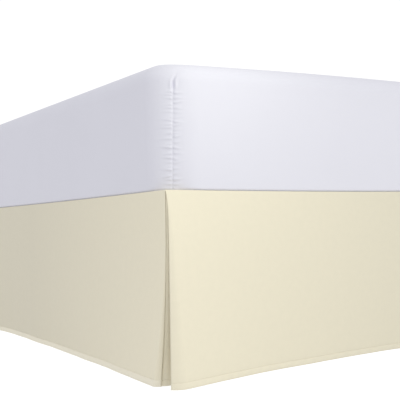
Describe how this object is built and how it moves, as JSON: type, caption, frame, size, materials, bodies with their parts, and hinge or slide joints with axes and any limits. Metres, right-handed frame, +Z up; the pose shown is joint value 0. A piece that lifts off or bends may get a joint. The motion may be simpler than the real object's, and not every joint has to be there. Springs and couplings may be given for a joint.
{
  "type": "bed skirt on a bed",
  "caption": "Tailored bed skirt with split pleated foot corners, hanging from its deck on a foundation with legs, under a rounded mattress.",
  "frame": {"origin": "foot of the centre leg on the floor, under the middle of the mattress", "axes": "+Z up; +Y along the bed from its foot end to its head end; +X across the bed, to the right as seen from the foot end"},
  "size_m": [1.5856, 2.0818, 0.6498],
  "materials": {
    "skirt_microfibre": "matte cream brushed microfibre",
    "mattress_cover": "matte white smooth cover",
    "foundation_ticking": "matte off-white ticking",
    "leg_wood": "satin lacquered beech"
  },
  "bodies": {
    "root": {"deck_panel": "skirt_microfibre", "foot_panel": "skirt_microfibre", "side_panel_left": "skirt_microfibre", "side_panel_right": "skirt_microfibre", "corner_pleat_left": "skirt_microfibre", "corner_pleat_right": "skirt_microfibre", "mattress": "mattress_cover", "foundation": "foundation_ticking", "leg_foot_left": "leg_wood", "leg_foot_right": "leg_wood", "leg_middle_left": "leg_wood", "leg_middle_right": "leg_wood", "leg_head_left": "leg_wood", "leg_head_right": "leg_wood", "leg_centre": "leg_wood"}
  },
  "joints": []
}
